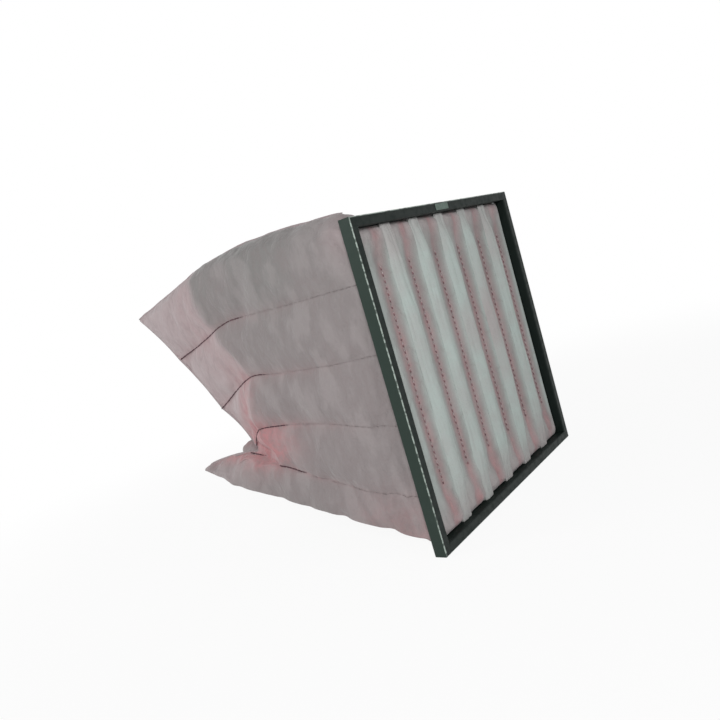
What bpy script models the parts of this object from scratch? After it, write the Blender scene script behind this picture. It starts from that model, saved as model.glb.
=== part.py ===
"""Bag air filter: a channel-section header frame that carries six soft pockets.

Metres, +Z up, +Y downstream (the way the air goes). The origin is the middle of the
bottom rail's rear flange, on the flat face that seats against the mounting frame.
The header stands upright here. The pockets keep the shape they have while the whole
filter leans back on a floor: flattened undersides, a tail that has sunk and folded.
"""

import math

import bmesh
import bpy

# Header frame: a folded sheet channel on four sides
HEADER_WIDTH = 0.592
HEADER_HEIGHT = 0.592
HEADER_DEPTH = 0.025
FLANGE_WIDTH = 0.018
SHEET = 0.001
BEND_RADIUS = 0.0022
BEND_STEPS = 3
MITRE_GAP = 0.0002
GAP = 0.0003

# Corner keys pressed into the rails' ends
KEY_LEG = 0.040
KEY_LEAD = 0.004

# Divider strips between the pockets, and the cloth sleeves sewn round them
POCKET_COUNT = 6
STRIP_WIDTH = 0.014
STRIP_THICKNESS = 0.003
STRIP_ENGAGEMENT = 0.007
SLEEVE_WIDTH = 0.024
SLEEVE_BACK = 0.0010
SLEEVE_CREST = 0.0105
SLEEVE_ARC_STEPS = 6
SLEEVE_ROWS = 9
SLEEVE_SWELL = 0.0012

# Bare tag plate on the top rail
TAG_WIDTH = 0.048
TAG_HEIGHT = 0.0125
TAG_THICKNESS = 0.0006
TAG_CORNER = 0.0015

# Pockets: the mouth
MOUTH_SHOULDER = 0.0155
MOUTH_VALLEY = 0.0240
MOUTH_EDGE = 0.0200
MOUTH_PUFF = 0.0125
TOP_PUFF_LENGTH = 0.075
BOTTOM_PUFF_LENGTH = 0.105
NECK_END = 0.0030
PUFF_START = 0.022
RAIL_TUCK = 0.012

# Pockets: the side outline, from the rear face of the header
POCKET_DEPTH = 0.627
CHANNELS = 5
SEAM_PLACE = (0.0, 0.151, 0.385, 0.618, 0.838, 1.0)
TAIL_REACH = (0.887, 0.660, 0.634, 0.734, 0.860, 1.0)
TOP_RISE = ((0.0, 0.0), (0.035, 0.040), (0.32, 0.046), (0.55, 0.039), (0.67, 0.024), (1.0, -0.029))
FLOOR_SLOPE = 0.31
FLOOR_CLEARANCE = 0.0015
SEAM_RISE = (
    ((0.0, 0.0), (0.20, 0.023), (0.34, 0.048), (0.45, 0.071), (0.57, 0.094), (0.66, 0.108)),
    ((0.0, 0.0), (0.14, 0.013), (0.28, 0.024), (0.46, 0.032), (0.545, 0.030), (0.606, 0.010), (0.64, -0.018)),
    ((0.0, 0.0), (0.25, 0.000), (0.42, 0.005), (0.50, 0.009), (0.608, -0.012), (0.734, -0.048)),
    ((0.0, 0.0), (0.30, 0.001), (0.52, 0.003), (0.585, -0.006), (0.71, -0.027), (0.86, -0.048)),
)
STRAIGHT_TAIL_REACH = 0.898
STRAIGHT_SEAM_CURVE = 1.3
FLAP_FULLNESS = 2.6
CROWN_BY_POCKET = (1.0, 0.72, 0.76, 0.70, 0.74, 0.78)
NOTCH_BY_POCKET = (1.0, 0.50, 0.75, 0.40, 0.65, 0.92)
REACH_BY_POCKET = (1.0, 0.985, 0.955, 0.99, 0.965, 0.995)

# Pockets: thickness across
FAN_OUT = 0.22
CREASE_PLACE = (0.80, 0.74, 0.84, 0.665, 0.665, 0.60)
CREASE_THICKNESS = 0.79
TAIL_THICKNESS = 0.006
FLAP_THICKNESS = 0.030
CROWN_DROP = 0.020
CROWN_BASE = 0.020
SOLE_ROUNDING = 0.006
SEAM_GROOVE = 0.0075
SEAM_GROOVE_AT_HEADER = 0.25
CRUMPLE_DEPTH = 0.007

# Grid steps of the pockets' surfaces
OUTER_CHANNEL_STEPS = (0.0, 0.14, 0.5, 0.86)
INNER_CHANNEL_STEPS = (0.0, 0.2, 0.8)
OUTER_FRONT_STEPS = (0.25, 0.5, 0.76, 1.0)
OUTER_TAIL_STEPS = (0.3, 0.6, 0.86, 1.0)
INNER_FRONT_STEPS = (0.5, 1.0)
INNER_TAIL_STEPS = (0.5, 1.0)

# Worked out from the values above
CENTRE_Z = (HEADER_HEIGHT - FLANGE_WIDTH) / 2
FRONT_Y = -HEADER_DEPTH
OPENING_WIDTH = HEADER_WIDTH - 2 * FLANGE_WIDTH
OPENING_HEIGHT = HEADER_HEIGHT - 2 * FLANGE_WIDTH
OPENING_BOTTOM = CENTRE_Z - OPENING_HEIGHT / 2
OPENING_TOP = CENTRE_Z + OPENING_HEIGHT / 2
PITCH = OPENING_WIDTH / POCKET_COUNT
STRIP_BACK_Y = -SHEET - GAP
STRIP_FRONT_Y = STRIP_BACK_Y - STRIP_THICKNESS
LIP_END_Y = STRIP_FRONT_Y - GAP


def clear_scene():
    for obj in list(bpy.data.objects):
        bpy.data.objects.remove(obj, do_unlink=True)


def material(name, colour, roughness, metallic=0.0):
    made = bpy.data.materials.new(name)
    made.use_nodes = True
    shader = made.node_tree.nodes["Principled BSDF"]
    shader.inputs["Base Color"].default_value = (*colour, 1.0)
    shader.inputs["Roughness"].default_value = roughness
    shader.inputs["Metallic"].default_value = metallic
    return made


def add_object(name, bm, look, parent, smooth_angle=None):
    """One closed body from a bmesh, with its faces pointing out."""
    bmesh.ops.recalc_face_normals(bm, faces=bm.faces)
    mesh = bpy.data.meshes.new(name)
    bm.to_mesh(mesh)
    bm.free()
    if smooth_angle is not None:
        mesh.shade_smooth()
        mesh.set_sharp_from_angle(angle=smooth_angle)
    mesh.materials.append(look)
    obj = bpy.data.objects.new(name, mesh)
    bpy.context.scene.collection.objects.link(obj)
    obj.parent = parent
    return obj


def prism(outline, place_start, place_end):
    """A bmesh between two copies of an outline, each point put down by a function."""
    bm = bmesh.new()
    start = [bm.verts.new(place_start(point)) for point in outline]
    end = [bm.verts.new(place_end(point)) for point in outline]
    count = len(outline)
    for i in range(count):
        after = (i + 1) % count
        bm.faces.new((start[i], start[after], end[after], end[i]))
    bm.faces.new(start)
    bm.faces.new(end)
    return bm


def bend(centre, radius, start_angle, end_angle):
    """Points round a fold of the sheet."""
    points = []
    for step in range(BEND_STEPS + 1):
        angle = math.radians(start_angle + (end_angle - start_angle) * step / BEND_STEPS)
        points.append((centre[0] + radius * math.cos(angle), centre[1] + radius * math.sin(angle)))
    return points


def rail_profile():
    """Section of a rail as (distance inward from the outer face, y), one folded sheet.

    Rear flange, outer web, front flange and an inner lip, with a slot between the lip
    and the rear flange where the divider strips hook in.
    """
    outer = BEND_RADIUS
    inner = BEND_RADIUS - SHEET
    near = BEND_RADIUS
    far = FLANGE_WIDTH - BEND_RADIUS
    back = -BEND_RADIUS
    front = FRONT_Y + BEND_RADIUS
    points = [(FLANGE_WIDTH, 0.0)]
    points += bend((near, back), outer, 90, 180)
    points += bend((near, front), outer, 180, 270)
    points += bend((far, front), outer, 270, 360)
    points += [(FLANGE_WIDTH, LIP_END_Y), (FLANGE_WIDTH - SHEET, LIP_END_Y)]
    points += bend((far, front), inner, 360, 270)
    points += bend((near, front), inner, 270, 180)
    points += bend((near, back), inner, 180, 90)
    points += [(FLANGE_WIDTH, -SHEET)]
    return points


# Each side of the header: which way is outward, as (x, z)
SIDES = {"top": (0, 1), "bottom": (0, -1), "left": (-1, 0), "right": (1, 0)}


def header_rail(side, look, parent):
    """One mitred rail. Its ends recede as far as each point lies inward, so they meet at 45 degrees."""
    out_x, out_z = SIDES[side]
    reach = (HEADER_WIDTH if out_x else HEADER_HEIGHT) / 2
    half_length = (HEADER_HEIGHT if out_x else HEADER_WIDTH) / 2

    def placed(end):
        def put(point):
            inward, y = point
            out = reach - inward
            along = end * (half_length - inward - MITRE_GAP)
            x = out_x * out + abs(out_z) * along
            z = out_z * out + abs(out_x) * along
            return (x, y, CENTRE_Z + z)

        return put

    bm = prism(rail_profile(), placed(-1), placed(1))
    return add_object(f"header_rail_{side}", bm, look, parent, math.radians(40))


def corner_key(name, side_x, side_z, look, parent):
    """L-shaped moulded key that fills the rails' ends, with tapered leads on its legs."""
    near = SHEET + GAP
    far = FLANGE_WIDTH - SHEET - GAP
    chamfer = BEND_RADIUS
    outline = [
        (near + chamfer, near),
        (KEY_LEG - KEY_LEAD, near),
        (KEY_LEG, near + KEY_LEAD / 2),
        (KEY_LEG, far - KEY_LEAD / 2),
        (KEY_LEG - KEY_LEAD, far),
        (far, far),
        (far, KEY_LEG - KEY_LEAD),
        (far - KEY_LEAD / 2, KEY_LEG),
        (near + KEY_LEAD / 2, KEY_LEG),
        (near, KEY_LEG - KEY_LEAD),
        (near, near + chamfer),
    ]
    front = FRONT_Y + BEND_RADIUS
    back = LIP_END_Y - GAP

    def placed(y):
        def put(point):
            x = side_x * (HEADER_WIDTH / 2 - point[0])
            z = side_z * (HEADER_HEIGHT / 2 - point[1])
            return (x, y, CENTRE_Z + z)

        return put

    bm = prism(outline, placed(front), placed(back))
    return add_object(name, bm, look, parent)


def divider_x(index):
    """Middle of the strip between pocket index and the next one, counted from the left."""
    return -OPENING_WIDTH / 2 + PITCH * index


def divider_strip(index, look, parent):
    """Flat steel strip that hooks behind the lips of the top and bottom rails."""
    half = STRIP_WIDTH / 2
    centre = divider_x(index)
    corner = STRIP_THICKNESS / 2
    bottom = OPENING_BOTTOM - STRIP_ENGAGEMENT
    top = OPENING_TOP + STRIP_ENGAGEMENT
    outline = [
        (-half, bottom + corner),
        (-half + corner, bottom),
        (half - corner, bottom),
        (half, bottom + corner),
        (half, top - corner),
        (half - corner, top),
        (-half + corner, top),
        (-half, top - corner),
    ]

    def placed(y):
        return lambda point: (centre + point[0], y, point[1])

    bm = prism(outline, placed(STRIP_FRONT_Y), placed(STRIP_BACK_Y))
    return add_object(f"divider_strip_{index}", bm, look, parent)


def sleeve_slot(index, parent):
    """Cutter for the passage that the strip goes through."""
    bm = bmesh.new()
    bmesh.ops.create_cube(bm, size=1.0)
    size = (STRIP_WIDTH + 2 * GAP, STRIP_THICKNESS + 2 * GAP, OPENING_HEIGHT * 1.1)
    bmesh.ops.scale(bm, vec=size, verts=bm.verts)
    middle = (STRIP_FRONT_Y + STRIP_BACK_Y) / 2
    bmesh.ops.translate(bm, vec=(divider_x(index), middle, CENTRE_Z), verts=bm.verts)
    mesh = bpy.data.meshes.new("sleeve_slot_cutter")
    bm.to_mesh(mesh)
    bm.free()
    cutter = bpy.data.objects.new(f"sleeve_slot_cutter_{index}", mesh)
    bpy.context.scene.collection.objects.link(cutter)
    cutter.parent = parent
    cutter.hide_render = True
    cutter.display_type = "WIRE"
    return cutter


def sleeve_section(crest):
    """Rounded rib in front, flat back, as (x, y) about the strip's middle."""
    half = SLEEVE_WIDTH / 2
    shoulder_y = LIP_END_Y
    points = [(half, SLEEVE_BACK)]
    for step in range(SLEEVE_ARC_STEPS + 1):
        angle = math.pi * step / SLEEVE_ARC_STEPS
        points.append((half * math.cos(angle), shoulder_y - crest * math.sin(angle)))
    points.append((-half, SLEEVE_BACK))
    return points


def divider_sleeve(index, look, parent):
    """Cloth hem round a strip: it stands out in front as a soft rib from top to bottom."""
    bm = bmesh.new()
    bottom = OPENING_BOTTOM + GAP
    top = OPENING_TOP - GAP
    rings = []
    for row in range(SLEEVE_ROWS + 1):
        share = row / SLEEVE_ROWS
        swell = SLEEVE_SWELL * math.sin(row * 2.3 + index * 1.7)
        ring = []
        for x, y in sleeve_section(SLEEVE_CREST + swell):
            ring.append(bm.verts.new((divider_x(index) + x, y, bottom + (top - bottom) * share)))
        rings.append(ring)
    for low, high in zip(rings, rings[1:]):
        for i in range(len(low)):
            after = (i + 1) % len(low)
            bm.faces.new((low[i], low[after], high[after], high[i]))
    bm.faces.new(rings[0])
    bm.faces.new(rings[-1])
    obj = add_object(f"divider_sleeve_{index}", bm, look, parent, math.radians(50))
    slot = obj.modifiers.new("strip_slot", "BOOLEAN")
    slot.operation = "DIFFERENCE"
    slot.solver = "EXACT"
    slot.object = sleeve_slot(index, parent)
    return obj


def tag_plate(look, parent):
    """Small bare plate on the front flange of the top rail."""
    half = TAG_WIDTH / 2
    low = -TAG_HEIGHT / 2
    high = TAG_HEIGHT / 2
    cut = TAG_CORNER
    outline = [
        (-half + cut, low),
        (half - cut, low),
        (half, low + cut),
        (half, high - cut),
        (half - cut, high),
        (-half + cut, high),
        (-half, high - cut),
        (-half, low + cut),
    ]
    middle = CENTRE_Z + HEADER_HEIGHT / 2 - FLANGE_WIDTH / 2
    back = FRONT_Y - GAP

    def placed(y):
        return lambda point: (point[0], y, middle + point[1])

    bm = prism(outline, placed(back - TAG_THICKNESS), placed(back))
    return add_object("tag_plate", bm, look, parent)


def smooth_step(value):
    value = min(1.0, max(0.0, value))
    return value * value * (3 - 2 * value)


def curve_through(points, x):
    """Height of a smooth curve through (x, height) points."""
    last = len(points) - 1
    i = 0
    while i < last - 1 and x > points[i + 1][0]:
        i += 1
    x0, h0 = points[i]
    x1, h1 = points[i + 1]
    span = x1 - x0
    before = points[max(i - 1, 0)]
    after = points[min(i + 2, last)]
    slope0 = (h1 - before[1]) / (x1 - before[0])
    slope1 = (after[1] - h0) / (after[0] - x0)
    t = min(1.0, max(0.0, (x - x0) / span))
    return (
        (2 * t**3 - 3 * t**2 + 1) * h0
        + (t**3 - 2 * t**2 + t) * span * slope0
        + (3 * t**2 - 2 * t**3) * h1
        + (t**3 - t**2) * span * slope1
    )


def between(values, v):
    """Smooth value at height share v from one value for each edge or seam, bottom to top."""
    points = [(i / CHANNELS, value) for i, value in enumerate(values)]
    return curve_through(points, v)


class Pocket:
    """One pocket's form. u runs -1 to 1 across, v 0 to 1 up, w 0 to 1 from mouth to tail."""

    def __init__(self, index):
        self.index = index
        self.centre = -OPENING_WIDTH / 2 + PITCH * (index + 0.5)
        self.notch = NOTCH_BY_POCKET[index % len(NOTCH_BY_POCKET)]
        self.reach = POCKET_DEPTH * REACH_BY_POCKET[index % len(REACH_BY_POCKET)]
        self.crown = CROWN_BY_POCKET[index % len(CROWN_BY_POCKET)]
        self.outer_left = index == 0
        self.outer_right = index == POCKET_COUNT - 1
        self.outer = self.outer_left or self.outer_right
        self.step_out = 1 - (SLEEVE_WIDTH / 2 + 1.4 * GAP) / (PITCH / 2)
        self.step_in = self.step_out - 0.03

    def fan(self, y):
        """How far the pockets have spread apart at this depth."""
        return 1 + FAN_OUT * max(y, 0.0) / POCKET_DEPTH

    def tail_y(self, v):
        """Depth of the rear edge. Below the lowest seam it is the rounded end of the folded flap."""
        folded = between(TAIL_REACH, v)
        if v < 1 / CHANNELS:
            fullness = math.sqrt(1 - (v * CHANNELS) ** FLAP_FULLNESS)
            folded = TAIL_REACH[1] + (TAIL_REACH[0] - TAIL_REACH[1]) * fullness
        straight = STRAIGHT_TAIL_REACH + (1 - STRAIGHT_TAIL_REACH) * v
        return self.reach * (straight + (folded - straight) * self.notch)

    def floor_z(self, y):
        """The plane that the pockets' undersides lie on while the header leans back."""
        return OPENING_BOTTOM - FLANGE_WIDTH + FLOOR_SLOPE * (y + HEADER_DEPTH) + FLOOR_CLEARANCE

    def mouth_z(self, v):
        """Height in the header's opening: the seams part it unevenly, with narrow channels at the rails."""
        position = min(max(v, 0.0), 1.0) * CHANNELS
        line = min(int(position), CHANNELS - 1)
        low, high = SEAM_PLACE[line], SEAM_PLACE[line + 1]
        share = low + (high - low) * (position - line)
        return OPENING_BOTTOM + GAP + (OPENING_HEIGHT - 2 * GAP) * share

    def line_z(self, line, y):
        """Height of the bottom edge, a seam or the top edge at depth y."""
        share = max(0.0, y / self.reach)
        if line == CHANNELS:
            rise = curve_through(TOP_RISE, share)
            return OPENING_TOP + rise * (self.crown if rise > 0 else 1.0)
        if line == 0:
            start = OPENING_BOTTOM + GAP
            return start + (self.floor_z(y) - start) * smooth_step(y / PUFF_START)
        start = self.mouth_z(line / CHANNELS)
        folded = curve_through(SEAM_RISE[line - 1], share)
        top = OPENING_TOP + TOP_RISE[-1][1]
        bottom = self.floor_z(self.reach * STRAIGHT_TAIL_REACH)
        end = bottom + (top - bottom) * SEAM_PLACE[line]
        straight = (end - start) * min(1.0, share) ** STRAIGHT_SEAM_CURVE
        return start + straight + (folded - straight) * self.notch

    def height(self, v, y):
        """Height of the cloth at share v of the way up, between the two lines it lies between."""
        position = min(max(v, 0.0), 1.0) * CHANNELS
        line = min(int(position), CHANNELS - 1)
        share = position - line
        low = self.line_z(line, y)
        high = self.line_z(line + 1, y)
        return low + (high - low) * share

    def crease_w(self, v):
        return between(CREASE_PLACE, v)

    def thickness(self, v, w, y):
        """Half thickness across the pocket."""
        full = PITCH / 2 * self.fan(y)
        crease = self.crease_w(v)
        flap = smooth_step(1 - v * CHANNELS / 1.4)
        tail = (TAIL_THICKNESS + (FLAP_THICKNESS - TAIL_THICKNESS) * flap) / 2
        at_crease = CREASE_THICKNESS * full
        if w < crease:
            half = full + (at_crease - full) * (w / crease) ** 2
        else:
            half = at_crease + (tail - at_crease) * (w - crease) / (1 - crease)
        return min(half, full - 0.6 * GAP) - self.groove(v, w, half) - self.crumple(v, w, half)

    def groove(self, v, w, half):
        """Depth of the furrow that a stitched seam pulls into the wall."""
        position = v * CHANNELS
        nearest = round(position)
        if nearest in (0, CHANNELS):
            return 0.0
        close = max(0.0, 1 - abs(position - nearest) / 0.5) ** 3
        strength = SEAM_GROOVE_AT_HEADER + (1 - SEAM_GROOVE_AT_HEADER) * smooth_step(w / 0.7)
        return min(SEAM_GROOVE * strength * close, 0.4 * half) * smooth_step(w / 0.05)

    def crumple(self, v, w, half):
        """Folds that radiate from the notch in the tail."""
        away = math.hypot((v - 0.28) / 0.2, (w - 0.95) / 0.32)
        strength = math.exp(-(away**2)) * self.notch
        turn = math.atan2(v - 0.28, 1.05 - w)
        ripple = 0.5 + 0.5 * math.sin(turn * 9 + w * 14 + self.index)
        return min(CRUMPLE_DEPTH * strength * ripple, 0.35 * half)

    def mouth_y(self, u, v):
        """Front face: a valley down the middle, closed by puffed folds at top and bottom."""
        below = self.mouth_z(v) - OPENING_BOTTOM
        above = OPENING_TOP - self.mouth_z(v)
        open_share = smooth_step(min(above / TOP_PUFF_LENGTH, below / BOTTOM_PUFF_LENGTH))
        at_rail = smooth_step(min(above, below) / RAIL_TUCK)
        valley = MOUTH_PUFF + (MOUTH_VALLEY - MOUTH_PUFF) * open_share
        shoulder = MOUTH_SHOULDER + 0.3 * (MOUTH_PUFF - MOUTH_SHOULDER) * (1 - open_share)
        across = min(1.0, abs(u) / self.step_in)
        depth = valley + (shoulder - valley) * across**0.85
        depth = MOUTH_EDGE + (depth - MOUTH_EDGE) * at_rail
        return FRONT_Y + depth

    def has_sleeve(self, u):
        return not (self.outer_left and u < 0) and not (self.outer_right and u > 0)

    def front_y(self, u, v):
        """Depth of the front face, which passes behind the sleeves on either side."""
        if abs(u) > self.step_out - 1e-6 and self.has_sleeve(u):
            return SLEEVE_BACK + 1.4 * GAP
        if abs(u) > self.step_in + 1e-6:
            edge = FRONT_Y + MOUTH_EDGE
            share = (abs(u) - self.step_in) / (1 - self.step_in)
            return self.mouth_y(u, v) + (edge - self.mouth_y(u, v)) * share
        return self.mouth_y(u, v)

    def place(self, u, v, w, ring_y=None):
        """Where a point of the pocket's surface lies."""
        if w == 0.0:
            y = self.front_y(u, v)
        elif ring_y is not None:
            y = ring_y
        else:
            y = PUFF_START + (self.tail_y(v) - PUFF_START) * w
        if y <= NECK_END:
            return (self.centre + u * (PITCH / 2 - GAP), y, self.mouth_z(v))
        half = self.thickness(v, w, y)
        z = self.height(v, y)
        drop = CROWN_DROP * smooth_step(y / PUFF_START) * smooth_step((v - 0.8) / 0.2)
        lift = SOLE_ROUNDING * smooth_step(y / PUFF_START) * smooth_step((0.2 - v) / 0.2)
        z += (lift - drop) * u * u * min(1.0, half / CROWN_BASE)
        return (self.centre * self.fan(y) + u * half, y, z)


def pocket_steps(pocket):
    """The grid lines across, up and along a pocket."""
    step_in, step_out = pocket.step_in, pocket.step_out
    across = [-1.0, -step_out, -step_in, -0.4, 0.0, 0.4, step_in, step_out, 1.0]
    shares = OUTER_CHANNEL_STEPS if pocket.outer else INNER_CHANNEL_STEPS
    up = [(channel + share) / CHANNELS for channel in range(CHANNELS) for share in shares] + [1.0]
    front = OUTER_FRONT_STEPS if pocket.outer else INNER_FRONT_STEPS
    tail = OUTER_TAIL_STEPS if pocket.outer else INNER_TAIL_STEPS
    return across, up, front, tail


def pocket_object(index, look, parent):
    """A closed skin: mouth, two walls, crown, sole and tail, laid out as the outside of a grid."""
    pocket = Pocket(index)
    across, up, front, tail = pocket_steps(pocket)
    bm = bmesh.new()
    rings = 3 + len(front) + len(tail)

    def position(i, j, k):
        u, v = across[i], up[j]
        if k == 0:
            return pocket.place(u, v, 0.0)
        if k == 1:
            return pocket.place(u, v, 0.001, NECK_END)
        if k == 2:
            return pocket.place(u, v, 0.02, PUFF_START)
        crease = pocket.crease_w(v)
        if k < 3 + len(front):
            w = crease * front[k - 3]
        else:
            w = crease + (1 - crease) * tail[k - 3 - len(front)]
        return pocket.place(u, v, w)

    verts = {}

    def vert(i, j, k):
        key = (i, j, k)
        if key not in verts:
            verts[key] = bm.verts.new(position(i, j, k))
        return verts[key]

    last_i, last_j, last_k = len(across) - 1, len(up) - 1, rings - 1
    for i in range(last_i):
        for j in range(last_j):
            for k in (0, last_k):
                bm.faces.new((vert(i, j, k), vert(i + 1, j, k), vert(i + 1, j + 1, k), vert(i, j + 1, k)))
    for j in range(last_j):
        for k in range(last_k):
            for i in (0, last_i):
                bm.faces.new((vert(i, j, k), vert(i, j + 1, k), vert(i, j + 1, k + 1), vert(i, j, k + 1)))
    for i in range(last_i):
        for k in range(last_k):
            for j in (0, last_j):
                bm.faces.new((vert(i, j, k), vert(i + 1, j, k), vert(i + 1, j, k + 1), vert(i, j, k + 1)))
    return add_object(f"pocket_{index + 1}", bm, look, parent, math.radians(60))


def main():
    clear_scene()
    root = bpy.data.objects.new("bag_filter", None)
    bpy.context.scene.collection.objects.link(root)
    green = material("green_paint", (0.030, 0.058, 0.040), 0.42)
    grey = material("tag_grey", (0.11, 0.16, 0.13), 0.5)
    steel = material("zinc_steel", (0.55, 0.56, 0.57), 0.4, 1.0)
    black = material("moulded_black", (0.02, 0.02, 0.02), 0.6)
    mint = material("mint_cloth", (0.66, 0.74, 0.70), 0.9)
    pink = material("pink_cloth", (0.68, 0.52, 0.51), 0.9)
    for side in SIDES:
        header_rail(side, green, root)
    for side_z, row in ((1, "top"), (-1, "bottom")):
        for side_x, column in ((-1, "left"), (1, "right")):
            corner_key(f"corner_key_{row}_{column}", side_x, side_z, black, root)
    for index in range(1, POCKET_COUNT):
        divider_strip(index, steel, root)
        divider_sleeve(index, mint, root)
    tag_plate(grey, root)
    for index in range(POCKET_COUNT):
        pocket_object(index, pink, root)


main()
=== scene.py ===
"""Looks of a bag air filter: its soft pockets, mouth ribs, stitching, hems and finishes."""

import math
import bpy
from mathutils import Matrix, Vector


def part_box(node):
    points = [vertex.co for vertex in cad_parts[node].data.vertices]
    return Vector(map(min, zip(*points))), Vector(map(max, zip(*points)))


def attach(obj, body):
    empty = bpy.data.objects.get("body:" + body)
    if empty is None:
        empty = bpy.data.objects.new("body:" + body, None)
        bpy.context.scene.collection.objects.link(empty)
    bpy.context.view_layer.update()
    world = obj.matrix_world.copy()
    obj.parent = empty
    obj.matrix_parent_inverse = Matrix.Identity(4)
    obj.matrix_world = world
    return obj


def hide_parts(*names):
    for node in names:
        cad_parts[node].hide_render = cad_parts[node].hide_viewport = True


bl_info = {
    "name": "Bag Air Filter",
    "version": (1, 0, 0),
    "blender": (4, 5, 0),
    "location": "View3D > Sidebar > Bag Filter",
    "description": "Cloth pockets, ribs, stitching and painted header of a ventilation bag filter",
    "category": "Object",
}

import bmesh
import bpy
from bpy.props import FloatProperty, FloatVectorProperty, IntProperty, PointerProperty
from mathutils import Matrix, Vector, noise

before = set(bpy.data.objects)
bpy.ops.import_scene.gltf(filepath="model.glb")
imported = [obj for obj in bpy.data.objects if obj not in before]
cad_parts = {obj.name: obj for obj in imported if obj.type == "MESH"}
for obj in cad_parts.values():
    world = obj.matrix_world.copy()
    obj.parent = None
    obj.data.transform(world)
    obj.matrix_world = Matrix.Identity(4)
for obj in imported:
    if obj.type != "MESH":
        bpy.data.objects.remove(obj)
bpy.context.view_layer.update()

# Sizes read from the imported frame
TOP_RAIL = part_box("header_rail_top")
BOTTOM_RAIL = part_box("header_rail_bottom")
LEFT_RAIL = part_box("header_rail_left")
RIGHT_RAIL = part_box("header_rail_right")
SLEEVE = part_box("divider_sleeve_1")
POCKET_COUNT = sum(1 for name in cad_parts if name.startswith("pocket_"))
SLEEVE_COUNT = sum(1 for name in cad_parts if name.startswith("divider_sleeve_"))
FRONT_Y = TOP_RAIL[0][1]
OPENING_LEFT = LEFT_RAIL[1][0]
OPENING_RIGHT = RIGHT_RAIL[0][0]
OPENING_BOTTOM = BOTTOM_RAIL[1][2]
OPENING_TOP = TOP_RAIL[0][2]
OPENING_WIDTH = OPENING_RIGHT - OPENING_LEFT
OPENING_HEIGHT = OPENING_TOP - OPENING_BOTTOM
FLANGE_WIDTH = OPENING_BOTTOM - BOTTOM_RAIL[0][2]
HEADER_DEPTH = -FRONT_Y
PITCH = OPENING_WIDTH / POCKET_COUNT
SLEEVE_WIDTH = SLEEVE[1][0] - SLEEVE[0][0]
SLEEVE_BACK = SLEEVE[1][1]
GAP = 0.0003
FLOOR_Z = BOTTOM_RAIL[0][2] - 0.0005
CHANNELS = 5


def smooth_step(value):
    value = min(1.0, max(0.0, value))
    return value * value * (3 - 2 * value)


def curve_through(points, x):
    """Height of a smooth curve through (x, height) points."""
    last = len(points) - 1
    i = 0
    while i < last - 1 and x > points[i + 1][0]:
        i += 1
    x0, h0 = points[i]
    x1, h1 = points[i + 1]
    span = x1 - x0
    before = points[max(i - 1, 0)]
    after = points[min(i + 2, last)]
    slope0 = (h1 - before[1]) / (x1 - before[0])
    slope1 = (after[1] - h0) / (after[0] - x0)
    t = min(1.0, max(0.0, (x - x0) / span))
    return (
        (2 * t**3 - 3 * t**2 + 1) * h0
        + (t**3 - 2 * t**2 + t) * span * slope0
        + (3 * t**2 - 2 * t**3) * h1
        + (t**3 - t**2) * span * slope1
    )


def between(values, v):
    """Smooth value at height share v from one value for each edge or seam, bottom to top."""
    points = [(i / CHANNELS, value) for i, value in enumerate(values)]
    return curve_through(points, v)


def billow(x, y, z, octaves=2):
    """Soft noise between about -1 and 1."""
    return noise.fractal((x, y, z), 0.9, 2.1, octaves)


# Property groups


def colour_property(name, description, default):
    return FloatVectorProperty(name=name, description=description, subtype="COLOR", default=default, min=0.0, max=1.0)


def length_property(name, description, default, low=0.0):
    return FloatProperty(
        name=name, description=description, default=default, min=low, subtype="DISTANCE", unit="LENGTH"
    )


class FilterHeaderSettings(bpy.types.PropertyGroup):
    """Finish of the header frame."""

    paint: colour_property("Paint", "Dark green enamel on the sheet", (0.021, 0.037, 0.029))
    # Painted highlight: a lighter colour along the outer front folds stands in for light glinting on the bend
    painted_edge_highlight: colour_property("Painted edge highlight", "Thinner, lighter paint along the folds", (0.50, 0.58, 0.53))
    # Painted shade: the front flanges and inner sides take this darker colour in place of the shade they lie in
    painted_shade: colour_property(
        "Painted shade on flanges and inner sides", "Colour of the flanges and inner sides, which lie in shade", (0.0060, 0.0115, 0.0095)
    )
    paint_roughness: FloatProperty(
        name="Paint roughness",
        description="How dull the enamel is",
        default=0.38,
        min=0.0,
        max=1.0,
    )
    tag: colour_property("Tag", "Bare grey-green plate on the top rail", (0.090, 0.140, 0.115))


class FilterPocketSettings(bpy.types.PropertyGroup):
    """Form and cloth of the pockets."""

    depth: length_property("Depth", "From the header's rear face to the furthest tail", 0.627, 0.1)
    fan_out: FloatProperty(
        name="Fan-out",
        description="How much wider the row of tails is than the mouth",
        default=0.22,
        min=0.0,
    )
    seam_groove: length_property("Seam groove", "How deep a stitched seam pulls into the wall", 0.0078)
    slack: FloatProperty(
        name="Slack",
        description="How much longer the cloth is than the form it is sewn to, as a share",
        default=0.035,
        min=0.0,
        max=0.2,
        subtype="FACTOR",
    )
    billow_cap: length_property("Billow cap", "Furthest that the air may move a point of the cloth", 0.009)
    crumple: length_property("Crumple", "Height of the folds round the notch in the tail", 0.0120)
    wrinkle: length_property("Wrinkle", "Height of the soft drag folds in the walls", 0.0030)
    cloth: colour_property("Cloth", "Pink-grey nonwoven of the walls", (0.295, 0.262, 0.262))
    blush: colour_property("Blush", "Stronger pink where the cloth is creased or doubled", (0.50, 0.235, 0.245))
    # Painted light on the cloth's tail panel and crown, where this paler colour stands in for light; also the plain
    # paler tone of the hems, the doubled rib cloth and the mouths' closed ends
    bloom: colour_property("Pale tone and painted light", "Paler face of the cloth towards the tail", (0.46, 0.375, 0.382))
    mint: colour_property("Mint", "Greenish lining at the pocket mouths", (0.51, 0.59, 0.56))
    up_steps: IntProperty(
        name="Steps in a channel",
        description="Grid rows between two seams on an outer pocket",
        default=13,
        min=4,
    )
    along_steps: IntProperty(
        name="Steps along",
        description="Grid columns from neck to tail on an outer pocket",
        default=52,
        min=10,
    )


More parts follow.
